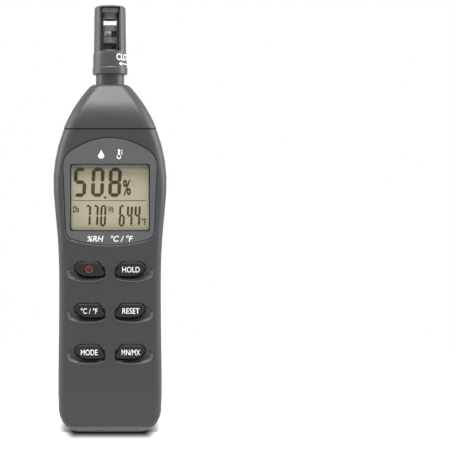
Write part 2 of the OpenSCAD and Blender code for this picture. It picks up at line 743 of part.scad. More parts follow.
module humidity_chip() {
    color([0.85, 0.85, 0.8])
        translate([-2.45, -sensor_board_t / 2 - 1.1, slot_mid - 1.5])
            difference() {
                cube([3, 1.1, 3]);
                translate([1.5, 0.5, 1.5])
                    rotate([90, 0, 0])
                        cylinder(d = 1.4, h = 1, $fn = 32);
            }
}

module thermistor() {
    color([0.15, 0.15, 0.15])
        translate([1.4, -sensor_board_t / 2 - 0.8, slot_mid - slot_pitch])
            sphere(d = 1.6, $fn = 32);
}

// The flat cable from the probe to the board, bent once behind the display
module sensor_ribbon() {
    t = 0.5;
    y0 = sensor_board_t / 2;
    y1 = board_back + 2.4;
    z1 = board_high_z + 8;
    z2 = board_high_z - 1.2;
    color([0.8, 0.8, 0.75])
        translate([-2.5, 0, 0])
            rotate([90, 0, 90])
                linear_extrude(height = 5)
                    polygon([[y0, sensor_board_low + 3], [y0 + t, sensor_board_low + 3], [y0 + t, z1 + 5],
                        [y1 + t, z1 - 4], [y1 + t, z2], [y1, z2], [y1, z1 - 4.3], [y0, z1 + 4.7]]);
}

module ribbon_socket() {
    color([0.9, 0.88, 0.8])
        upright(board_back, board_back + 2.3)
            translate([-4.5, board_high_z - 5])
                square([9, 4]);
}

// The door follows the curve of the back, with thumb ridges outside and two locating ribs inside
module battery_door() {
    n = 14;
    heights = [for (k = [0:n]) door_low_z + (door_high_z - door_low_z) * k / n];
    rib_h = 0.9;
    rib_x = bay_w / 2 - 0.9;
    ridge_z = door_high_z - 14;
    color(shell)
        difference() {
            union() {
                intersection() {
                    translate([-door_w / 2, 0, 0])
                        rotate([90, 0, 90])
                            linear_extrude(height = door_w)
                                polygon(concat([for (z = heights) [back_d(z), z]],
                                    [[door_seat_y + seat, door_high_z], [door_seat_y + seat, door_low_z]]));
                    upright(door_seat_y - 1, body_t)
                        translate([0, door_mid])
                            polygon(box_outline(door_w, door_high_z - door_low_z, 1.8));
                }
                for (k = [0:4])
                    translate([-7, back_d(ridge_z) - 0.5, ridge_z + 1.7 * k])
                        cube([14, 0.8, 0.8]);
                for (s = [-1, 1])
                    translate([s * rib_x - 0.4, door_seat_y - rib_h, bay_low_z + 1])
                        cube([0.8, rib_h + 1, bay_high_z - bay_low_z - 2]);
            }
            rod_y(0, door_screw_z, board_screw_d + 0.3, door_seat_y - 1, body_t);
            rod_y(0, door_screw_z, board_screw_d + 2.2, back_d(door_screw_z) - 1.1, body_t);
        }
}
module door_screw() {
    color(metal)
        screw(0, door_screw_z, back_d(door_screw_z) - 1.1, board_screw_d - 0.12, board_screw_d + 1.8, 0.9, 5);
}

// A cell with its nub at the top
module cell() {
    rotate_extrude($fn = 64)
        polygon([[0, 0], [cell_d / 2 - 0.5, 0], [cell_d / 2, 0.5], [cell_d / 2, cell_h - 1.6],
                [cell_d / 2 - 0.6, cell_h - 1], [1.9, cell_h - 1], [1.9, cell_h], [0, cell_h]]);
}
module battery_left() {
    color([0.85, 0.7, 0.25])
        translate([-cell_pitch / 2, cell_y, cell_z + spring_room / 2])
            cell();
}
module battery_right() {
    color([0.85, 0.7, 0.25])
        translate([cell_pitch / 2, cell_y, cell_z + cell_h - spring_room / 2])
            rotate([180, 0, 0])
                cell();
}

// A cone spring swept along a helix, six-sided wire
wire_d = 0.5;
module cone_spring(h, turns = 3) {
    steps = 16 * turns;
    rings = [for (k = [0:steps])
        let (f = k / steps, a = 360 * turns * f, r = 3.6 - 1.4 * f, z = wire_d / 2 + (h - wire_d) * f)
        [for (s = [0:5]) let (u = 60 * s) [(r + wire_d / 2 * cos(u)) * cos(a),
            (r + wire_d / 2 * cos(u)) * sin(a), z - wire_d / 2 * sin(u)]]];
    loft(rings);
}
spring_gap = 0.05;
spring_h = spring_room + spring_room / 2 - 2 * spring_gap;
module battery_springs() {
    color(metal) {
        translate([-cell_pitch / 2, cell_y, cell_z - spring_room + spring_gap])
            cone_spring(spring_h);
        translate([cell_pitch / 2, cell_y, cell_z + cell_h + spring_room - spring_gap])
            rotate([180, 0, 0])
                cone_spring(spring_h);
    }
}

plate_w = cell_d - 1.5;
module bridge_plate() {
    color(metal)
        translate([-bay_w / 2 + 0.8, cell_y - plate_w / 2, bay_low_z])
            cube([bay_w - 1.6, plate_w, plate_t]);
}

module terminal_plates() {
    color(metal)
        for (s = [-1, 1])
            translate([s * cell_pitch / 2 - plate_w / 2, cell_y - plate_w / 2, bay_high_z - plate_t])
                cube([plate_w, plate_w, plate_t]);
}

// A pan-head screw pointing to -Y, its head's underside at y
module screw(x, z, y, d, head_d, head_h, length) {
    translate([x, y, z])
        rotate([90, 0, 0])
            rotate_extrude($fn = 48)
                polygon([[0, -head_h], [head_d / 2 - 0.4, -head_h], [head_d / 2, -head_h + 0.4],
                    [head_d / 2, 0], [d / 2, 0], [d / 2, length - 0.8], [0, length]]);
}
module case_screws() {
    color(metal)
        for (s = case_spots)
            screw(s[0], s[1], back_d(s[1]) - head_sink - 1.6, case_screw_d - 0.12, case_head_d, 1.5,
                back_d(s[1]) - head_sink - 1.6 + split_y + thread_grip);
}
module board_screws() {
    color(metal)
        for (s = board_spots)
            screw(s[0], s[1], board_back, board_screw_d - 0.12, board_screw_d + 1.6, 1, board_t + 2.8);
}

front_cover();
rear_cover();
nose_cover();
display_lens();
lens_mask();
lcd_frame();
lcd_glass();
lcd_reflector();
contact_strips();
main_board();
controller_chip();
board_parts();
buzzer();
keypad_mat();
key_power();
key_hold();
key_unit();
key_reset();
key_mode();
key_min_max();
sensor_cage();
sensor_sleeve();
sleeve_ring();
stem_nut();
sensor_board();
humidity_chip();
thermistor();
sensor_ribbon();
ribbon_socket();
battery_door();
door_screw();
battery_left();
battery_right();
battery_springs();
bridge_plate();
terminal_plates();
case_screws();
board_screws();
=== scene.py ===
import math

import bpy
import bmesh
from mathutils import Matrix, Vector
from mathutils.geometry import convex_hull_2d


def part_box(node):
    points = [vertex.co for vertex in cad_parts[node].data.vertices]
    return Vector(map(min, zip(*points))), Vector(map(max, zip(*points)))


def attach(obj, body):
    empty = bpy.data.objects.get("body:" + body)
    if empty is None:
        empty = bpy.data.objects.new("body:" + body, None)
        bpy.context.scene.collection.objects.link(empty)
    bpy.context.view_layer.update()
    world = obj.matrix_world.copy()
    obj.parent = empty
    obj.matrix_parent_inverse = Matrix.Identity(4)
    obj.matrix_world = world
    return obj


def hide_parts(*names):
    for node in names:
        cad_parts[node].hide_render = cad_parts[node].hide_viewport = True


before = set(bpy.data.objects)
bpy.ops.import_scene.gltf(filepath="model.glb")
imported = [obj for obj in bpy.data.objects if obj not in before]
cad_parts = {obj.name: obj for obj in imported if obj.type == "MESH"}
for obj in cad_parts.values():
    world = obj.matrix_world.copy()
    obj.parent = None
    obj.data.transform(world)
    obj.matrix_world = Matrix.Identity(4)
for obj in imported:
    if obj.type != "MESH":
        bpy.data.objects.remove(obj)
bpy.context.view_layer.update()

# The camera looks level at the front, a little above the middle of the meter.
# The meter stands left of the picture's middle, so the lens is shifted and not turned.
MM = 0.001
picture_width = 0.1879
camera_distance = 0.60
camera_height = 0.1022
shift_right = 0.0480
shift_down = 0.0176
bpy.ops.object.select_all(action="DESELECT")
bpy.ops.object.camera_add(location=(0, -camera_distance, camera_height), rotation=(math.radians(90), 0, 0))
camera = bpy.context.object
camera.name = "camera"
camera.data.sensor_width = 36
camera.data.lens = 36 * camera_distance / picture_width
camera.data.shift_x = shift_right / picture_width
camera.data.shift_y = -shift_down / picture_width
camera.data.clip_start = 0.01
bpy.context.scene.camera = camera
bpy.context.scene.view_settings.view_transform = "Standard"


# Lamps: a large soft box hangs over the meter, so that the leaning nose and the ledges catch it.
# Two more stand level with its sides and draw the pale rims of the case.
def soft_box(name, place, aim, size, watts):
    bpy.ops.object.light_add(type="AREA", location=place)
    lamp = bpy.context.object
    lamp.name = name
    lamp.rotation_euler = (Vector(aim) - Vector(place)).to_track_quat("-Z", "Y").to_euler()
    lamp.data.shape = "RECTANGLE"
    lamp.data.size = size[0]
    lamp.data.size_y = size[1]
    lamp.data.energy = watts
    return lamp


soft_box("top_box", (0.0, -0.24, 0.72), (0, 0, 0.12), (0.5, 0.3), 9.0)
soft_box("left_box", (-0.58, 0.0, 0.32), (0, 0, 0.10), (0.4, 0.6), 4.0)
soft_box("right_box", (0.58, 0.0, 0.32), (0, 0, 0.10), (0.4, 0.6), 4.9)


# The room is white to the eye and dimmer as a light, so that the plastic keeps its depth of colour.
# The eye, mirrors and clear plastic see it white.
def seen_white(tree):
    path = tree.nodes.new("ShaderNodeLightPath")
    mirrored = tree.nodes.new("ShaderNodeMath")
    mirrored.operation = "MAXIMUM"
    shown = tree.nodes.new("ShaderNodeMath")
    shown.operation = "MAXIMUM"
    tree.links.new(path.outputs["Is Glossy Ray"], mirrored.inputs[0])
    tree.links.new(path.outputs["Is Transmission Ray"], mirrored.inputs[1])
    tree.links.new(path.outputs["Is Camera Ray"], shown.inputs[0])
    tree.links.new(mirrored.outputs[0], shown.inputs[1])
    return shown.outputs[0]


room_light = 0.10
room = bpy.data.worlds.new("white_room")
bpy.context.scene.world = room
room.use_nodes = True
tree = room.node_tree
tree.nodes.clear()
out = tree.nodes.new("ShaderNodeOutputWorld")
mix = tree.nodes.new("ShaderNodeMixShader")
dim = tree.nodes.new("ShaderNodeBackground")
bright = tree.nodes.new("ShaderNodeBackground")
dim.inputs["Color"].default_value = (1, 1, 1, 1)
dim.inputs["Strength"].default_value = room_light
bright.inputs["Color"].default_value = (1, 1, 1, 1)
bright.inputs["Strength"].default_value = 1.0
tree.links.new(seen_white(tree), mix.inputs[0])
tree.links.new(dim.outputs[0], mix.inputs[1])
tree.links.new(bright.outputs[0], mix.inputs[2])
tree.links.new(mix.outputs[0], out.inputs[0])

# The floor is a plain white sheet with a painted shadow round the meter's foot, deepest where the foot comes down to
# it.
# It fades into the white room a few centimetres out.
# Only the eye sees the painted dark line under the foot; what the floor throws back onto the case stays plain.
floor_fade = (0.05, 0.35)
floor_fade_least = 0.25
painted_shadow_sides = (14 * MM, 22 * MM)
painted_shadow_front = (-13 * MM, -39 * MM)
painted_shadow_back = (13 * MM, 21 * MM)
painted_shadow_least = 0.01
bpy.ops.mesh.primitive_plane_add(size=8, location=(0, 0, 0))
floor = bpy.context.object
floor.name = "floor"
paper = bpy.data.materials.new("white_paper")
paper.use_nodes = True
tree = paper.node_tree
shader = tree.nodes["Principled BSDF"]
shader.inputs["Roughness"].default_value = 0.9
shader.inputs["Specular IOR Level"].default_value = 0.1
glow = tree.nodes.new("ShaderNodeEmission")
glow.inputs["Strength"].default_value = 1.0
blend_in = tree.nodes.new("ShaderNodeMixShader")
path = tree.nodes.new("ShaderNodeLightPath")
ground = tree.nodes.new("ShaderNodeTexCoord")
reach = tree.nodes.new("ShaderNodeSeparateXYZ")
width = tree.nodes.new("ShaderNodeMath")
width.operation = "ABSOLUTE"
offset = tree.nodes.new("ShaderNodeCombineXYZ")
tree.links.new(ground.outputs["Object"], reach.inputs[0])
tree.links.new(reach.outputs["X"], width.inputs[0])
# The painted shadow: the floor's colour darkens with distance from the foot's outline, and it reaches furthest in
# front
for source, (start, end), spot in ((width.outputs[0], painted_shadow_sides, "X"), (reach.outputs["Y"], painted_shadow_front, "Y"),
                                   (reach.outputs["Y"], painted_shadow_back, "Z")):
    run = tree.nodes.new("ShaderNodeMapRange")
    run.inputs["From Min"].default_value = start
    run.inputs["From Max"].default_value = end
    tree.links.new(source, run.inputs["Value"])
    tree.links.new(run.outputs["Result"], offset.inputs[spot])
away = tree.nodes.new("ShaderNodeVectorMath")
away.operation = "LENGTH"
dark = tree.nodes.new("ShaderNodeMapRange")
dark.interpolation_type = "SMOOTHSTEP"
dark.inputs["To Min"].default_value = painted_shadow_least
# Only the eye's rays see the painted shadow; other rays see the floor unshaded
aside = tree.nodes.new("ShaderNodeMath")
aside.operation = "SUBTRACT"
aside.inputs[0].default_value = 1.0
contact = tree.nodes.new("ShaderNodeMath")
contact.operation = "MAXIMUM"
tree.links.new(offset.outputs[0], away.inputs[0])
tree.links.new(away.outputs["Value"], dark.inputs["Value"])
tree.links.new(path.outputs["Is Camera Ray"], aside.inputs[1])
tree.links.new(dark.outputs["Result"], contact.inputs[0])
tree.links.new(aside.outputs[0], contact.inputs[1])
tree.links.new(contact.outputs[0], shader.inputs["Base Color"])
tree.links.new(contact.outputs[0], glow.inputs["Color"])
spread = tree.nodes.new("ShaderNodeVectorMath")
spread.operation = "LENGTH"
fade = tree.nodes.new("ShaderNodeMapRange")
fade.inputs["From Min"].default_value = floor_fade[0]
fade.inputs["From Max"].default_value = floor_fade[1]
fade.inputs["To Min"].default_value = floor_fade_least
fade.inputs["To Max"].default_value = 1.0
seen = tree.nodes.new("ShaderNodeMath")
seen.operation = "MULTIPLY"
tree.links.new(ground.outputs["Object"], spread.inputs[0])
tree.links.new(spread.outputs["Value"], fade.inputs["Value"])
tree.links.new(fade.outputs["Result"], seen.inputs[0])
tree.links.new(seen_white(tree), seen.inputs[1])
tree.links.new(seen.outputs[0], blend_in.inputs[0])
tree.links.new(shader.outputs[0], blend_in.inputs[1])
tree.links.new(glow.outputs[0], blend_in.inputs[2])
tree.links.new(blend_in.outputs[0], tree.nodes["Material Output"].inputs["Surface"])
floor.data.materials.append(paper)


# Front cover: dark grey ABS from a spark-textured mould, so the skin is finely pebbled
# and its sheen is broken up. It drops over the board and is held by four screws from the back.
# A band makes a part paler or darker by height, as with the foot's painted reflection and the display's painted
# shadow: (height where it is full, height where it is gone, times the colour).
def plastic(name, color, rough, grain_size, grain_depth, mottle=0.08, sheen_span=0.06, shine=0.35, band=None):
    material = bpy.data.materials.new(name)
    material.use_nodes = True
    tree = material.node_tree
    shader = tree.nodes["Principled BSDF"]
    shader.inputs["Specular IOR Level"].default_value = shine
    place = tree.nodes.new("ShaderNodeTexCoord")
    cloud = tree.nodes.new("ShaderNodeTexNoise")
    cloud.inputs["Scale"].default_value = 90
    cloud.inputs["Detail"].default_value = 4
    tint = tree.nodes.new("ShaderNodeMapRange")
    tint.inputs["To Min"].default_value = 1 - mottle
    tint.inputs["To Max"].default_value = 1 + mottle
    paint = tree.nodes.new("ShaderNodeVectorMath")
    paint.operation = "SCALE"
    paint.inputs[0].default_value = color
    gloss = tree.nodes.new("ShaderNodeMapRange")
    gloss.inputs["To Min"].default_value = rough - sheen_span
    gloss.inputs["To Max"].default_value = rough + sheen_span
    grain = tree.nodes.new("ShaderNodeTexNoise")
    grain.inputs["Scale"].default_value = 1 / grain_size
    grain.inputs["Detail"].default_value = 2
    bump = tree.nodes.new("ShaderNodeBump")
    bump.inputs["Strength"].default_value = 0.35
    bump.inputs["Distance"].default_value = grain_depth
    links = tree.links
    links.new(place.outputs["Object"], cloud.inputs["Vector"])
    links.new(place.outputs["Object"], grain.inputs["Vector"])
    links.new(cloud.outputs["Fac"], tint.inputs["Value"])
    links.new(cloud.outputs["Fac"], gloss.inputs["Value"])
    links.new(tint.outputs["Result"], paint.inputs["Scale"])
    links.new(paint.outputs["Vector"], shader.inputs["Base Color"])
    # The band multiplies the colour by height, which is how painted light and shade are laid on
    if band:
        up = tree.nodes.new("ShaderNodeSeparateXYZ")
        band_ramp = tree.nodes.new("ShaderNodeMapRange")
        band_ramp.inputs["From Min"].default_value = band[0]
        band_ramp.inputs["From Max"].default_value = band[1]
        band_ramp.inputs["To Min"].default_value = band[2]
        band_ramp.inputs["To Max"].default_value = 1.0
        band_scale = tree.nodes.new("ShaderNodeMath")
        band_scale.operation = "MULTIPLY"
        links.new(place.outputs["Object"], up.inputs[0])
        links.new(up.outputs["Z"], band_ramp.inputs["Value"])
        links.new(band_ramp.outputs["Result"], band_scale.inputs[0])
        links.new(tint.outputs["Result"], band_scale.inputs[1])
        links.new(band_scale.outputs[0], paint.inputs["Scale"])
    links.new(gloss.outputs["Result"], shader.inputs["Roughness"])
    links.new(grain.outputs["Fac"], bump.inputs["Height"])
    links.new(bump.outputs["Normal"], shader.inputs["Normal"])
    return material


# A piece belongs to a body and may stand for nodes, which are then hidden; its slot is not used
def fit(piece, body, slot, *nodes):
    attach(piece, body)
    if nodes:
        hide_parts(*nodes)
    return piece


# Pieces that are one in the real thing are joined into the first of them
def join_all(pieces):
    bpy.ops.object.select_all(action="DESELECT")
    for piece in pieces:
        piece.select_set(True)
    bpy.context.view_layer.objects.active = pieces[0]
    bpy.ops.object.join()
    return pieces[0]


# A moulding takes its form from the part: its loose triangles are merged and flat facets joined,
# its edges get the small radius of a real mould, and the curved skin is shaded smooth
def mould(node, material, body, slot, radius=0.12 * MM, angle=24):
    bpy.ops.object.select_all(action="DESELECT")
    skin = bpy.data.objects.new(node + "_moulding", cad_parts[node].data.copy())
    bpy.context.scene.collection.objects.link(skin)
    bpy.context.view_layer.objects.active = skin
    skin.select_set(True)
    bpy.ops.object.mode_set(mode="EDIT")
    bpy.ops.mesh.select_all(action="SELECT")
    bpy.ops.mesh.remove_doubles(threshold=0.002 * MM)
    bpy.ops.mesh.dissolve_limited(angle_limit=math.radians(0.1))
    bpy.ops.object.mode_set(mode="OBJECT")
    if radius:
        edge = skin.modifiers.new("edge", "BEVEL")
        edge.width = radius
        edge.segments = 2
        edge.limit_method = "ANGLE"
        edge.angle_limit = math.radians(angle)
        edge.use_clamp_overlap = True
        bpy.ops.object.modifier_apply(modifier="edge")
    bpy.ops.object.shade_smooth_by_angle(angle=math.radians(angle))
    flats = skin.modifiers.new("flats", "WEIGHTED_NORMAL")
    flats.mode = "FACE_AREA"
    flats.keep_sharp = True
    bpy.ops.object.modifier_apply(modifier="flats")
    skin.data.materials.clear()
    skin.data.materials.append(material)
    return fit(skin, body, slot, node)


# The foot's edge is painted paler: a painted reflection of the white floor on its rounded edge
foot_painted_reflection = (1.9 * MM, 2.9 * MM, 2.9)
case_plastic = plastic("case_plastic", (0.0305, 0.0305, 0.031), 0.41, 0.35 * MM, 0.02 * MM, shine=0.30, band=foot_painted_reflection)
cover = mould("front_cover", case_plastic, "case", "case_plastic")

# Finger dishes: a shallow scoop round each key, pointed softly at its outer end, in the same moulding.
# A dish is a sheet that runs from the rim of the key's hole, down the scoop and out onto the face.
# Its lower rim carries a painted highlight: a paler, glossier plastic where the top light would catch the wall.
painted_rim_highlight = plastic("painted_rim_highlight", (0.085, 0.085, 0.086), 0.36, 0.35 * MM, 0.01 * MM, shine=0.4)
highlight_deep = 0.55 * MM
highlight_up = 0.6 * MM
highlight_inward = 6.4 * MM
highlight_past = (0.96, 0.94)
dish_w = 15.4 * MM
dish_rise = 3.63 * MM
dish_depth = 1.5 * MM
dish_x = 9.35 * MM
dish_drop = 0.95 * MM
hole_gap = 0.35 * MM
hole_room = 0.5 * MM
skin_lift = 0.02 * MM
skin_t = 0.25 * MM
skirt_h = 1.2 * MM
rim_rise = 0.16 * MM
rim_breadth = 0.3 * MM
lap_x = 8.9 * MM
lap_w = 17.0 * MM
lap_h = 9.0 * MM
lap_drop = 0.4 * MM


# Where the face lies at a height, and how far a dish is sunk below it
def face_at(z):
    return cover.ray_cast(Vector((0, -50 * MM, z)), Vector((0, 1, 0)))[1].y


def sunk(x, z):
    across = min(abs(x) / (dish_w / 2), 1)
    swell = dish_rise + dish_depth * math.sqrt(1 - across * across)
    return max(math.sqrt(max(swell * swell - z * z, 0)) - dish_rise, 0)


# The rim of a key's hole: the key's outline grown by its gap, with more room under it
def hole_rim(node, count):
    key_low, key_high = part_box(node)
    middle = Vector(((key_low[0] + key_high[0]) / 2, (key_low[2] + key_high[2]) / 2))
    near = [Vector((v.co.x, v.co.z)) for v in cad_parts[node].data.vertices
            if v.co.y < key_low[1] + skirt_h]
    grown = [p + (p - middle).normalized() * hole_gap for p in near]
    grown += [p - Vector((0, hole_room)) for p in grown]
    hull = [grown[i] for i in convex_hull_2d(grown)]
    rim = []
    for k in range(count):
        turn = 2 * math.pi * k / count
        way = Vector((math.cos(turn), math.sin(turn)))
        reach = 0
        for a, b in zip(hull, hull[1:] + hull[:1]):
            edge = b - a
            cross = way.x * edge.y - way.y * edge.x
            if abs(cross) > 1e-12:
                along = ((a.x - middle.x) * edge.y - (a.y - middle.y) * edge.x) / cross
                part = ((a.x - middle.x) * way.y - (a.y - middle.y) * way.x) / cross
                if along > 0 and -1e-6 <= part <= 1 + 1e-6:
                    reach = max(reach, along)
        rim.append(middle + way * reach)
    return rim


# A flat grid is laid round the hole: its rows run down the scoop to the dish's edge and out to the face
def finger_dish(node):
    turns, down, out = 144, 12, 6
    key_low, key_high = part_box(node)
    side = -1 if key_low[0] < 0 else 1
    row = (key_low[2] + key_high[2]) / 2
    dish = Vector((side * dish_x, row - dish_drop))
    rim = hole_rim(node, turns)
    bpy.ops.object.select_all(action="DESELECT")
    bpy.ops.mesh.primitive_grid_add(x_subdivisions=turns, y_subdivisions=down + out + 1, size=1, location=(0, 0, 0))
    sheet = bpy.context.object
    for vertex in sheet.data.vertices:
        k = round((vertex.co.x + 0.5) * turns) % turns
        step = round((vertex.co.y + 0.5) * (down + out + 1)) - 1
        turn = 2 * math.pi * k / turns
        across, up = math.cos(turn), math.sin(turn)
        outer = Vector((side * lap_x + lap_w / 2 * math.copysign(abs(across) ** 0.5, across),
                        row - lap_drop + lap_h / 2 * math.copysign(abs(up) ** 0.5, up)))
        inner = rim[k]
        # The way out from the hole is halved again and again to find where the dish ends
        low, high = 0.0, 1.0
        for again in range(18):
            half = (low + high) / 2
            spot = inner.lerp(outer, half) - dish
            low, high = (half, high) if sunk(spot.x, spot.y) > 0 else (low, half)
        edge = max(low, 0.02)
        part = edge * max(step, 0) / down if step <= down else edge + (1 - edge) * (step - down) / out
        spot = inner.lerp(outer, part)
        aside = abs(part - edge) * (outer - inner).length
        level = face_at(spot.y) - skin_lift + sunk(spot.x - dish.x, spot.y - dish.y)
        level -= rim_rise * math.exp(-(aside / rim_breadth) ** 2)
        vertex.co = (spot.x, level + (skirt_h if step < 0 else 0), spot.y)
    bpy.ops.object.mode_set(mode="EDIT")
    bpy.ops.mesh.select_all(action="SELECT")
    bpy.ops.mesh.remove_doubles(threshold=0.001 * MM)
    bpy.ops.mesh.normals_make_consistent(inside=False)
    bpy.ops.object.mode_set(mode="OBJECT")
    if sum(face.normal.y * face.area for face in sheet.data.polygons) > 0:
        sheet.data.flip_normals()
    shell = sheet.modifiers.new("shell", "SOLIDIFY")
    shell.thickness = skin_t
    shell.offset = -1
    bpy.ops.object.modifier_apply(modifier="shell")
    bpy.ops.object.shade_smooth_by_angle(angle=math.radians(50))
    sheet.data.materials.append(case_plastic)
    sheet.data.materials.append(painted_rim_highlight)
    # Faces near the lower rim, short of its inner end, take the painted highlight
    for face in sheet.data.polygons:
        spot = Vector((face.center.x, face.center.z)) - dish
        at_rim = sunk(spot.x, spot.y) < highlight_deep and sunk(spot.x * highlight_past[0], spot.y * highlight_past[1]) > 0
        if at_rim and spot.y < highlight_up and spot.x * side > -highlight_inward:
            face.material_index = 1
    return sheet


key_pairs = (("key_power", "key_hold"), ("key_unit", "key_reset"), ("key_mode", "key_min_max"))
bpy.context.view_layer.update()
dishes = [finger_dish(node) for pair in key_pairs for node in pair]
join_all([cover] + dishes)

# Rear cover: the deeper tub of the same plastic, which carries the battery bay and the
# four screw wells. It stands a hair proud of the front cover all along their seam.
mould("rear_cover", case_plastic, "case", "case_plastic")

# Nose cover: the leaning cap over both covers' upper ends, of the same plastic.
# It plugs into them with a lip and holds the probe's stem, drawn tight by a nut inside.
mould("nose_cover", case_plastic, "case", "case_plastic")

# Display panel: a thin grey plate set into the face, smoother and bluer than the case,
# with its edge eased and its window cut through.
panel_plastic = plastic("panel_plastic", (0.068, 0.069, 0.071), 0.36, 0.18 * MM, 0.006 * MM, mottle=0.05)
mould("lens_mask", panel_plastic, "case", "mask_print", radius=0.08 * MM)

# Prints on the panel: generic signs for what is measured, a drop and a thermometer above the window,
# and units below it. They are screen printed in white ink, which lies a few hundredths proud.
white_ink = plastic("white_ink", (0.70, 0.70, 0.69), 0.55, 0.12 * MM, 0.004 * MM, mottle=0.04)
ink_t = 0.03 * MM


# Words in the given height and width, standing up to face the front, with their back at y = back
def words(name, text, size, middle, back, ink, body, slot, slant=0.0, weight=0.02):
    bpy.ops.object.select_all(action="DESELECT")
    bpy.ops.object.text_add(location=(0, 0, 0))
    label = bpy.context.object
    label.name = name
    label.data.body = text
    label.data.shear = slant
    label.data.offset = weight
    label.data.resolution_u = 5
    label.data.extrude = 0.1
    bpy.ops.object.convert(target="MESH")
    bpy.ops.object.origin_set(type="ORIGIN_GEOMETRY", center="BOUNDS")
    flat = label.dimensions.copy()
    label.scale = (size[0] / flat.x, size[1] / flat.y, ink_t / flat.z)
    label.rotation_euler = (math.radians(90), 0, 0)
    label.location = (middle[0], back - ink_t / 2, middle[1])
    bpy.ops.object.transform_apply(location=True, rotation=True, scale=True)
    label.data.materials.clear()
    label.data.materials.append(ink)
    return fit(label, body, slot)


# Flat shapes in the same ink: a shape is drawn at its place, given its thickness and joined to the rest
def ink_sheet(name, shapes, back, ink, body, slot):
    sheet = join_all(shapes)
    bpy.ops.object.transform_apply(location=True, rotation=True, scale=True)
    sheet.name = name
    bpy.ops.object.mode_set(mode="EDIT")
    bpy.ops.mesh.select_all(action="SELECT")
    bpy.ops.mesh.normals_make_consistent(inside=False)
    bpy.ops.mesh.extrude_region_move(TRANSFORM_OT_translate={"value": (0, -ink_t, 0)})
    bpy.ops.mesh.select_all(action="SELECT")
    bpy.ops.mesh.normals_make_consistent(inside=False)
    bpy.ops.object.mode_set(mode="OBJECT")
    sheet.data.materials.clear()
    sheet.data.materials.append(ink)
    return fit(sheet, body, slot)


panel_low, panel_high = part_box("lens_mask")
panel_face = panel_low[1]


def disc_shape(x, z, radius, vertices=32, turn=0.0):
    bpy.ops.object.select_all(action="DESELECT")
    bpy.ops.mesh.primitive_circle_add(vertices=vertices, radius=radius, fill_type="NGON",
                                      location=(x, panel_face, z), rotation=(math.radians(90), turn, 0))
    return bpy.context.object


# A drop: a ball in outline whose top is drawn out to a point
def drop_shape(x, z, radius):
    drop = disc_shape(x, z, radius)
    for vertex in drop.data.vertices:
        rise = max(vertex.co.y / radius, 0)
        vertex.co.x *= 1 - 0.75 * rise ** 1.6
        vertex.co.y *= 1 + 0.9 * rise ** 2
    return drop


# A bar with rounded ends, lying along x or standing along z
def bar_shape(x, z, length, breadth, upright=False):
    bar = disc_shape(x, z, breadth / 2, vertices=16, turn=math.radians(90 if upright else 0))
    half = (length - breadth) / 2
    for vertex in bar.data.vertices:
        vertex.co.x += math.copysign(half, vertex.co.x)
    return bar


sign_z = panel_high[2] - 6.8 * MM
sign_x = 3.6 * MM
unit_z = panel_low[2] + 2.75 * MM
signs = [drop_shape(-sign_x, sign_z - 0.5 * MM, 1.25 * MM)]
signs.append(disc_shape(sign_x, sign_z - 1.1 * MM, 0.85 * MM))
signs.append(bar_shape(sign_x, sign_z + 0.3 * MM, 3.6 * MM, 0.8 * MM, upright=True))
for k in range(3):
    signs.append(bar_shape(sign_x + 1.15 * MM, sign_z + (0.1 + 0.75 * k) * MM, 0.8 * MM, 0.26 * MM))
ink_sheet("measure_signs", signs, panel_face, white_ink, "case", "white_plastic")
words("unit_print", "%RH   °C / °F", (18.6 * MM, 2.5 * MM), (0, unit_z), panel_face, white_ink,
      "case", "white_plastic", slant=0.2, weight=0.012)

# Window: a clear acrylic plate glued to the back of the panel. Light passes straight through it,
# and only a faint gloss lies on it.
clear_acrylic = bpy.data.materials.new("clear_acrylic")
clear_acrylic.use_nodes = True
shader = clear_acrylic.node_tree.nodes["Principled BSDF"]
shader.inputs["Base Color"].default_value = (0.03, 0.03, 0.03, 1)
shader.inputs["Roughness"].default_value = 0.06
shader.inputs["IOR"].default_value = 1.49
shader.inputs["Alpha"].default_value = 0.12
mould("display_lens", clear_acrylic, "case", "lens_plastic", radius=0.05 * MM)

# Display holder: a black moulded frame behind the face that keeps the liquid crystal glass square
# to the window. It sits in a shallow pocket of the front cover, and the board presses it there.
inner_black = plastic("inner_black", (0.018, 0.018, 0.018), 0.55, 0.3 * MM, 0.01 * MM)
mould("lcd_frame", inner_black, "case", "inner_plastic", radius=0.1 * MM)

# Liquid crystal glass: two panes under a khaki polariser film, with a milky sheet behind them.
# The film has a faint warm cloud in it and a dull, slightly uneven skin.
# A painted shadow darkens the film along its top, where the window's upper edge would shade it.
painted_window_shadow = (panel_high[2] - 12.2 * MM, panel_high[2] - 13.3 * MM, 0.54)
khaki_film = plastic("khaki_film", (0.48, 0.452, 0.315), 0.42, 0.6 * MM, 0.002 * MM, mottle=0.03, sheen_span=0.03,
                     band=painted_window_shadow)
mould("lcd_glass", khaki_film, "case", "lcd_glass", radius=0.05 * MM)
milky_sheet = plastic("milky_sheet", (0.68, 0.68, 0.64), 0.6, 0.2 * MM, 0.003 * MM)
mould("lcd_reflector", milky_sheet, "case", "white_plastic", radius=0.03 * MM)

# Reading: dark olive segments inside the glass. One bar is drawn for each size of numeral and copied,
# and the numerals lean a few degrees.
segment_ink = plastic("segment_ink", (0.064, 0.049, 0.020), 0.5, 0.3 * MM, 0.002 * MM, mottle=0.12, shine=0.1)
glass_low, glass_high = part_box("lcd_glass")
glass_face = glass_low[1]
glass_z = (glass_low[2] + glass_high[2]) / 2
segment_lean = math.tan(math.radians(2.5))
LIT = {"0": "abcdef", "4": "bcfg", "5": "acdfg", "6": "acdefg", "7": "abc", "8": "abcdefg"}


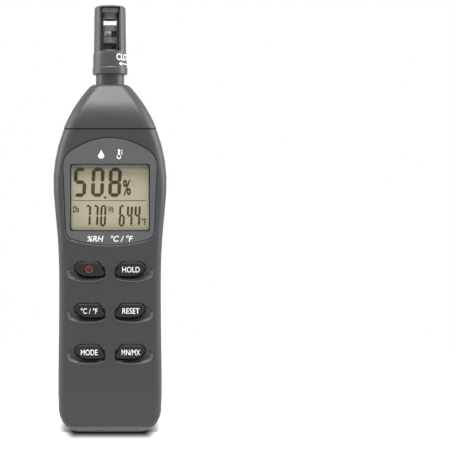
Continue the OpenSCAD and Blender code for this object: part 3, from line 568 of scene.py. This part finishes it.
# A bar with pointed ends: a plane whose two ends are extruded and each drawn to a point
def segment_bar(length, breadth):
    bpy.ops.object.select_all(action="DESELECT")
    bpy.ops.mesh.primitive_plane_add(size=1, location=(0, 0, 0), rotation=(math.radians(90), 0, 0))
    bar = bpy.context.object
    bar.scale = (length - breadth, breadth, 1)
    bpy.ops.object.transform_apply(location=False, rotation=True, scale=True)
    for side in (-1, 1):
        bpy.ops.object.mode_set(mode="EDIT")
        bpy.ops.mesh.select_mode(type="EDGE")
        bpy.ops.mesh.select_all(action="DESELECT")
        drawn = bmesh.from_edit_mesh(bar.data)
        for line in drawn.edges:
            line.select_set(all(v.co.x * side > (length - breadth) / 2 - 0.01 * MM for v in line.verts))
        drawn.select_flush_mode()
        bpy.ops.mesh.extrude_edges_move(TRANSFORM_OT_translate={"value": (side * breadth / 2, 0, 0)})
        bpy.ops.mesh.merge(type="CENTER")
        bpy.ops.object.mode_set(mode="OBJECT")
    return bar


# Seven bars round a cell; a is the top bar, then clockwise, and g the middle one
def numeral(figure, left, low, cell_w, cell_h, breadth, gap):
    bars = []
    half = (cell_h - breadth) / 2
    flat = cell_w - breadth
    spots = {"a": (0.5, 1, 0), "g": (0.5, 0.5, 0), "d": (0.5, 0, 0),
             "f": (0, 0.75, 1), "b": (1, 0.75, 1), "e": (0, 0.25, 1), "c": (1, 0.25, 1)}
    for key in LIT[figure]:
        across, up, upright = spots[key]
        bar = segment_bar((half if upright else flat) - gap, breadth)
        x = left + breadth / 2 + across * flat
        z = low + breadth / 2 + up * 2 * half
        bar.matrix_world = (Matrix.Translation((x, glass_face, z))
                            @ Matrix.Rotation(math.radians(90) if upright else 0, 4, "Y"))
        bars.append(bar)
    return bars


upper_low = glass_z + 0.25 * MM
lower_low = glass_z - 11.8 * MM
divider_z = glass_z - 1.25 * MM
reading = []
for figure, left in (("5", -15.1), ("0", -7.85), ("8", -0.85)):
    reading += numeral(figure, left * MM, upper_low, 5.2 * MM, 12.0 * MM, 1.5 * MM, 0.12 * MM)
for figure, left in (("7", -10.45), ("7", -7.35), ("0", -4.2), ("6", 3.45), ("4", 6.6), ("4", 9.75)):
    reading += numeral(figure, left * MM, lower_low, 2.45 * MM, 8.8 * MM, 0.86 * MM, 0.08 * MM)
readout = join_all(reading)
bpy.ops.object.transform_apply(location=True, rotation=True, scale=True)
for vertex in readout.data.vertices:
    base = upper_low if vertex.co.z > divider_z else lower_low + 0.1 * MM
    vertex.co.x += (vertex.co.z - base) * segment_lean
marks = [readout, bar_shape(-0.1 * MM, divider_z, 29.6 * MM, 0.26 * MM)]
for x, z, radius in ((-2.0, 0.0, 0.5), (-4.55, -11.5, 0.2), (9.3, -11.5, 0.2)):
    marks.append(disc_shape(x * MM, glass_z + z * MM, radius * MM))
for mark in marks[1:]:
    mark.location.y = glass_face
ink_sheet("display_reading", marks, glass_face, segment_ink, "case", "lcd_glass")
for name, text, size, middle in (("sign_percent", "%", (3.3, 6.4), (6.9, 4.1)),
                                 ("sign_dry", "Db", (2.5, 2.6), (-13.9, -4.8)),
                                 ("sign_wet", "Wb", (2.4, 2.6), (0.3, -4.8)),
                                 ("sign_unit", "°F", (1.9, 3.2), (13.85, -9.9))):
    words(name, text, (size[0] * MM, size[1] * MM), (middle[0] * MM, glass_z + middle[1] * MM), glass_face,
          segment_ink, "case", "lcd_glass", weight=0.025)


# Contact strips: silicone laid up in hair-thin layers, black ones conducting and pink ones not,
# squeezed between the glass and the gold pads of the board.
def layered(name, light, dark, pitch, axis, rough):
    material = plastic(name, light, rough, 0.3 * MM, 0.003 * MM)
    tree = material.node_tree
    place = tree.nodes.new("ShaderNodeTexCoord")
    layers = tree.nodes.new("ShaderNodeTexWave")
    layers.bands_direction = axis
    layers.inputs["Scale"].default_value = 0.314 / pitch
    layers.inputs["Distortion"].default_value = 0.3
    both = tree.nodes.new("ShaderNodeMixRGB")
    both.inputs[1].default_value = (*light, 1)
    both.inputs[2].default_value = (*dark, 1)
    tree.links.new(place.outputs["Object"], layers.inputs["Vector"])
    tree.links.new(layers.outputs["Fac"], both.inputs[0])
    tree.links.new(both.outputs[0], tree.nodes["Principled BSDF"].inputs["Base Color"])
    return material


mould("contact_strips", layered("layered_silicone", (0.55, 0.22, 0.18), (0.03, 0.03, 0.03), 0.4 * MM, "X", 0.6),
      "case", "rubber", radius=0.1 * MM)


# Main board: glass epoxy under a green lacquer, through which the copper tracks show as paler lines.
# Four short screws hold it to the posts of the front cover.
def lacquered(name, color, track, pitch):
    material = plastic(name, color, 0.32, 0.25 * MM, 0.004 * MM)
    tree = material.node_tree
    place = tree.nodes.new("ShaderNodeTexCoord")
    turn = tree.nodes.new("ShaderNodeMapping")
    turn.inputs["Rotation"].default_value = (math.radians(90), 0, 0)
    tracks = tree.nodes.new("ShaderNodeTexBrick")
    tracks.inputs["Scale"].default_value = 1 / pitch
    tracks.inputs["Color1"].default_value = (*color, 1)
    tracks.inputs["Color2"].default_value = (color[0] * 1.3, color[1] * 1.15, color[2] * 1.3, 1)
    tracks.inputs["Mortar"].default_value = (*track, 1)
    tracks.inputs["Mortar Size"].default_value = 0.03
    tree.links.new(place.outputs["Object"], turn.inputs["Vector"])
    tree.links.new(turn.outputs["Vector"], tracks.inputs["Vector"])
    tree.links.new(tracks.outputs["Color"], tree.nodes["Principled BSDF"].inputs["Base Color"])
    return material


board_lacquer = lacquered("board_lacquer", (0.012, 0.085, 0.030), (0.05, 0.17, 0.06), 2.4 * MM)
mould("main_board", board_lacquer, "case", "circuit_board", radius=0.05 * MM)

# Controller: a flat black package of moulded epoxy, a little matt.
# It is soldered to the back of the board, below the buzzer.
chip_epoxy = plastic("chip_epoxy", (0.022, 0.022, 0.024), 0.5, 0.12 * MM, 0.006 * MM)
mould("controller_chip", chip_epoxy, "case", "inner_plastic", radius=0.15 * MM)

# Small parts on the board: ceramic chips, the crystal's drawn can and a standing capacitor in its sleeve.
# They are soldered to the back of the board round the controller.
glazed = plastic("glazed_ceramic", (0.34, 0.24, 0.14), 0.25, 0.4 * MM, 0.004 * MM, mottle=0.2)
mould("board_parts", glazed, "case", "ceramic", radius=0.12 * MM)

# Buzzer: a black moulded drum with its sound hole in the middle.
# It is soldered to the back of the board, behind the display.
mould("buzzer", inner_black, "case", "inner_plastic", radius=0.25 * MM)

# Keypad mat: one sheet of grey silicone, moulded with a dome under each key.
# It lies between the face and the board, and its domes push the keys back out.
silicone = plastic("grey_silicone", (0.16, 0.16, 0.165), 0.68, 0.5 * MM, 0.004 * MM)
silicone.node_tree.nodes["Principled BSDF"].inputs["Subsurface Weight"].default_value = 0.1
silicone.node_tree.nodes["Principled BSDF"].inputs["Subsurface Scale"].default_value = 0.5 * MM
mould("keypad_mat", silicone, "case", "rubber", radius=0.2 * MM)

# Keys: near-black caps with a soft crown, each pressed straight in through its hole in the face.
# The legends are printed on top in white, and the power sign in a dull red: a ring, open at the top,
# with a stroke in the gap, both pressed nearly flat.
key_plastic = plastic("key_plastic", (0.014, 0.014, 0.0145), 0.38, 0.25 * MM, 0.008 * MM, shine=0.16)
red_ink = plastic("red_ink", (0.17, 0.020, 0.018), 0.5, 0.12 * MM, 0.004 * MM, mottle=0.1)
legend_h = 2.3 * MM
legend_x = 8.5 * MM
legend_lift = 0.15 * MM
sign_flat = 0.07
legends = {"key_hold": ("HOLD", 7.1), "key_unit": ("°C / °F", 6.8), "key_reset": ("RESET", 7.0),
           "key_mode": ("MODE", 6.8), "key_min_max": ("MN/MX", 7.6)}
for pair in key_pairs:
    for side, node in zip((-1, 1), pair):
        mould(node, key_plastic, node + "_cap", "key_plastic", radius=0.06 * MM)
        key_low, key_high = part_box(node)
        middle = (side * legend_x, (key_low[2] + key_high[2]) / 2 + legend_lift)
        if node in legends:
            text, width = legends[node]
            words(node + "_legend", text, (width * MM, legend_h), middle, key_low[1], white_ink,
                  node + "_cap", "white_plastic", weight=0.006)
        else:
            bpy.ops.object.select_all(action="DESELECT")
            bpy.ops.mesh.primitive_torus_add(major_radius=1.25 * MM, minor_radius=0.22 * MM, major_segments=40,
                                             minor_segments=8, location=(0, 0, 0))
            ring = bpy.context.object
            bpy.ops.object.mode_set(mode="EDIT")
            bpy.ops.mesh.select_all(action="DESELECT")
            drawn = bmesh.from_edit_mesh(ring.data)
            for vertex in drawn.verts:
                vertex.select_set(vertex.co.y > 0 and abs(vertex.co.x) < 0.55 * MM)
            bpy.ops.mesh.delete(type="VERT")
            bpy.ops.mesh.select_all(action="SELECT")
            bpy.ops.mesh.region_to_loop()
            bpy.ops.mesh.edge_face_add()
            bpy.ops.object.mode_set(mode="OBJECT")
            ring.scale = (1, 1, sign_flat)
            ring.rotation_euler = (math.radians(90), 0, 0)
            ring.location = (middle[0], key_low[1], middle[1] + 0.1 * MM)
            bpy.ops.object.transform_apply(location=True, rotation=True, scale=True)
            bpy.ops.mesh.primitive_cylinder_add(vertices=16, radius=0.22 * MM, depth=1.5 * MM,
                                                location=(middle[0], key_low[1], middle[1] + 0.95 * MM))
            stroke = bpy.context.object
            bpy.ops.object.transform_apply(location=True, rotation=True, scale=True)
            for vertex in stroke.data.vertices:
                vertex.co.y = key_low[1] + (vertex.co.y - key_low[1]) * sign_flat
            join_all([ring, stroke])
            ring.name = "power_sign"
            ring.data.materials.clear()
            ring.data.materials.append(red_ink)
            fit(ring, node + "_cap", "white_plastic")

# Sensor cage: the slotted tube over the sensors, in one piece with the neck below it,
# moulded in the dark grey of the case with a slightly finer grain. Its bars are a little paler.
probe_plastic = plastic("probe_plastic", (0.042, 0.042, 0.043), 0.38, 0.30 * MM, 0.015 * MM, shine=0.32)
collar_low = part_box("sensor_sleeve")[0][2]
pale_bars = (collar_low + 7 * MM, collar_low + 3 * MM, 2.1)
cage_plastic = plastic("cage_plastic", (0.042, 0.042, 0.043), 0.40, 0.30 * MM, 0.015 * MM, shine=0.32, band=pale_bars)
mould("sensor_cage", cage_plastic, "case", "probe_plastic", radius=0.1 * MM)

# Guard sleeve: a cap with two windows that turns on the cage and covers its slots.
# Its collar is stepped for the fingers, and a print on it says which way it shuts.
mould("sensor_sleeve", probe_plastic, "sleeve", "probe_plastic", radius=0.12 * MM)
collar_face = 7.06 * MM
print_z = collar_low + 7.15 * MM
arrow_z = collar_low + 4.3 * MM


# Lays a flat print round the collar: it is cut into narrow strips first, so that it bends smoothly
def wrap_round(label, start, radius):
    strip = 0.5 * MM
    bpy.ops.object.select_all(action="DESELECT")
    label.select_set(True)
    bpy.context.view_layer.objects.active = label
    bpy.ops.object.mode_set(mode="EDIT")
    left = min(v.co.x for v in bmesh.from_edit_mesh(label.data).verts)
    right = max(v.co.x for v in bmesh.from_edit_mesh(label.data).verts)
    for k in range(1, int((right - left) / strip)):
        bpy.ops.mesh.select_all(action="SELECT")
        bpy.ops.mesh.bisect(plane_co=(left + strip * k, 0, 0), plane_no=(1, 0, 0))
    bpy.ops.object.mode_set(mode="OBJECT")
    for vertex in label.data.vertices:
        angle = math.radians(start) + (vertex.co.x - left) / radius
        reach = radius - vertex.co.y
        vertex.co.x = reach * math.sin(angle)
        vertex.co.y = -reach * math.cos(angle)
    return label


wrap_round(words("close_print", "CLOSE", (8.8 * MM, 2.7 * MM), (0, print_z), 0.0, white_ink,
                 "sleeve", "white_plastic", weight=0.015), 22, collar_face)
shaft = bar_shape(4.6 * MM, arrow_z, 6.4 * MM, 0.35 * MM)
bpy.ops.mesh.primitive_circle_add(vertices=3, radius=0.95 * MM, fill_type="NGON", location=(1.0 * MM, 0, arrow_z),
                                  rotation=(math.radians(90), 0, 0))
tip = bpy.context.object
tip.rotation_euler = (math.radians(90), math.radians(-90), 0)
for shape in (shaft, tip):
    shape.location.y = 0
wrap_round(ink_sheet("close_arrow", [shaft, tip], 0.0, white_ink, "sleeve", "white_plastic"), 31, collar_face)

# Friction ring: a black rubber ring, moulded round and snapped into the cage's groove.
# It rubs inside the sleeve and keeps it where it is set.
soft_rubber = plastic("soft_rubber", (0.012, 0.012, 0.012), 0.7, 0.2 * MM, 0.004 * MM)
mould("sleeve_ring", soft_rubber, "case", "rubber", radius=0)


# Stem nut: a thin steel nut under a plating of nickel.
# It draws the probe down onto the nose from inside.
def plated(name, color, rough):
    material = plastic(name, color, rough, 0.15 * MM, 0.003 * MM, mottle=0.06, sheen_span=0.08)
    material.node_tree.nodes["Principled BSDF"].inputs["Metallic"].default_value = 1.0
    return material


nickel = plated("nickel", (0.62, 0.60, 0.56), 0.28)
mould("stem_nut", nickel, "case", "plated_metal", radius=0.2 * MM)

# Sensor board and what it carries: a slim board coated black, the white humidity chip with its
# round opening, and the bead that reads the temperature.
sensor_lacquer = lacquered("sensor_lacquer", (0.012, 0.014, 0.012), (0.03, 0.035, 0.03), 1.6 * MM)
mould("sensor_board", sensor_lacquer, "case", "circuit_board", radius=0.05 * MM)
chip_ceramic = plastic("chip_ceramic", (0.55, 0.55, 0.52), 0.4, 0.2 * MM, 0.004 * MM)
mould("humidity_chip", chip_ceramic, "case", "white_plastic", radius=0.08 * MM)
bead_glaze = plastic("bead_glaze", (0.02, 0.02, 0.02), 0.2, 0.3 * MM, 0.003 * MM)
mould("thermistor", bead_glaze, "case", "ceramic", radius=0)

# Ribbon and its socket: a flat grey cable of parallel wires from the probe, and the ivory nylon
# socket on the board that it plugs into.
mould("sensor_ribbon", layered("ribbon_skin", (0.5, 0.5, 0.48), (0.36, 0.36, 0.35), 1.0 * MM, "X", 0.5),
      "case", "white_plastic", radius=0.08 * MM)
nylon = plastic("ivory_nylon", (0.62, 0.57, 0.44), 0.5, 0.3 * MM, 0.004 * MM)
mould("ribbon_socket", nylon, "case", "white_plastic", radius=0.12 * MM)

# Battery door: the plate of case plastic in the back, with thumb ridges outside and two locating ribs
# inside. One short screw at its upper end holds it.
mould("battery_door", case_plastic, "door", "case_plastic", radius=0.15 * MM)


# Screws have a cross cut into their heads, which a cutter of two crossed bars takes out
def cross_screws(node, body, slot, spots, width, depth):
    screws = mould(node, nickel, body, slot, radius=0.06 * MM)
    bars = []
    for x, z in spots:
        head = max(v.co.y for v in screws.data.vertices
                   if abs(v.co.x - x) < 3 * MM and abs(v.co.z - z) < 3 * MM)
        for size in ((width, 0.24 * width), (0.24 * width, width)):
            bpy.ops.object.select_all(action="DESELECT")
            bpy.ops.mesh.primitive_cube_add(size=1, location=(x, head, z))
            bpy.context.object.scale = (size[0], 2 * depth, size[1])
            bars.append(bpy.context.object)
    for cutter in bars:
        bpy.ops.object.select_all(action="DESELECT")
        cutter.select_set(True)
        bpy.context.view_layer.objects.active = cutter
        bpy.ops.object.transform_apply(location=True, rotation=True, scale=True)
        bpy.context.view_layer.objects.active = screws
        cut = screws.modifiers.new("cut", "BOOLEAN")
        cut.operation = "DIFFERENCE"
        cut.solver = "EXACT"
        cut.object = cutter
        screws.select_set(True)
        bpy.ops.object.modifier_apply(modifier="cut")
        bpy.data.objects.remove(cutter)
    return screws


# Where a node's screws stand: its points gathered into heaps, and the middle of each heap
def node_middles(node, reach=4 * MM):
    middles = []
    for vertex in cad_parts[node].data.vertices:
        near = [m for m in middles if math.hypot(vertex.co.x - m[0][0], vertex.co.z - m[0][1]) < reach]
        if near:
            near[0][1].append((vertex.co.x, vertex.co.z))
        else:
            middles.append(((vertex.co.x, vertex.co.z), [(vertex.co.x, vertex.co.z)]))
    return [((min(p[0] for p in m[1]) + max(p[0] for p in m[1])) / 2,
             (min(p[1] for p in m[1]) + max(p[1] for p in m[1])) / 2) for m in middles]


cross_screws("door_screw", "door", "plated_metal", node_middles("door_screw"), 2.2 * MM, 0.55 * MM)


# Cells: two slim alkaline cells, side by side and head to tail, each a steel can in a printed wrap.
# The wrap stops short of both ends, and a pale band marks the end with the nub.
def cell_wrap(name, nub_end, far_end):
    material = bpy.data.materials.new(name)
    material.use_nodes = True
    tree = material.node_tree
    shader = tree.nodes["Principled BSDF"]
    place = tree.nodes.new("ShaderNodeTexCoord")
    along = tree.nodes.new("ShaderNodeSeparateXYZ")
    length = tree.nodes.new("ShaderNodeMapRange")
    length.inputs["From Min"].default_value = nub_end
    length.inputs["From Max"].default_value = far_end
    bands = tree.nodes.new("ShaderNodeValToRGB")
    bands.color_ramp.interpolation = "CONSTANT"
    steel = (0.55, 0.54, 0.50, 1)
    for position, color in ((0.0, steel), (0.045, (0.60, 0.60, 0.58, 1)), (0.20, (0.030, 0.075, 0.16, 1)),
                            (0.975, steel)):
        stop = bands.color_ramp.elements.new(position) if position else bands.color_ramp.elements[0]
        stop.color = color
    bands.color_ramp.elements[-1].color = steel
    grain = tree.nodes.new("ShaderNodeTexNoise")
    grain.inputs["Scale"].default_value = 900
    gloss = tree.nodes.new("ShaderNodeMapRange")
    gloss.inputs["To Min"].default_value = 0.18
    gloss.inputs["To Max"].default_value = 0.34
    shader.inputs["Metallic"].default_value = 0.7
    tree.links.new(place.outputs["Object"], along.inputs[0])
    tree.links.new(place.outputs["Object"], grain.inputs["Vector"])
    tree.links.new(along.outputs["Z"], length.inputs["Value"])
    tree.links.new(length.outputs["Result"], bands.inputs["Fac"])
    tree.links.new(bands.outputs["Color"], shader.inputs["Base Color"])
    tree.links.new(grain.outputs["Fac"], gloss.inputs["Value"])
    tree.links.new(gloss.outputs["Result"], shader.inputs["Roughness"])
    return material


left_low, left_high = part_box("battery_left")
right_low, right_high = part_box("battery_right")
mould("battery_left", cell_wrap("left_wrap", left_high[2], left_low[2]), "case", "cell_can", radius=0.1 * MM)
mould("battery_right", cell_wrap("right_wrap", right_low[2], right_high[2]), "case", "cell_can", radius=0.1 * MM)

# Battery contacts: two cone springs of nickel-plated wire, the plate that bridges the cells
# at one end of the bay, and the two plates that feed the board at the other.
for node in ("battery_springs", "bridge_plate", "terminal_plates"):
    mould(node, nickel, "case", "plated_metal", radius=0 if node == "battery_springs" else 0.05 * MM)

# Case screws draw the rear cover to the front one from inside deep wells,
# and four short ones hold the board to the front cover's posts.
cross_screws("case_screws", "case", "plated_metal", node_middles("case_screws"), 2.6 * MM, 0.7 * MM)
cross_screws("board_screws", "case", "plated_metal", node_middles("board_screws"), 2.1 * MM, 0.5 * MM)
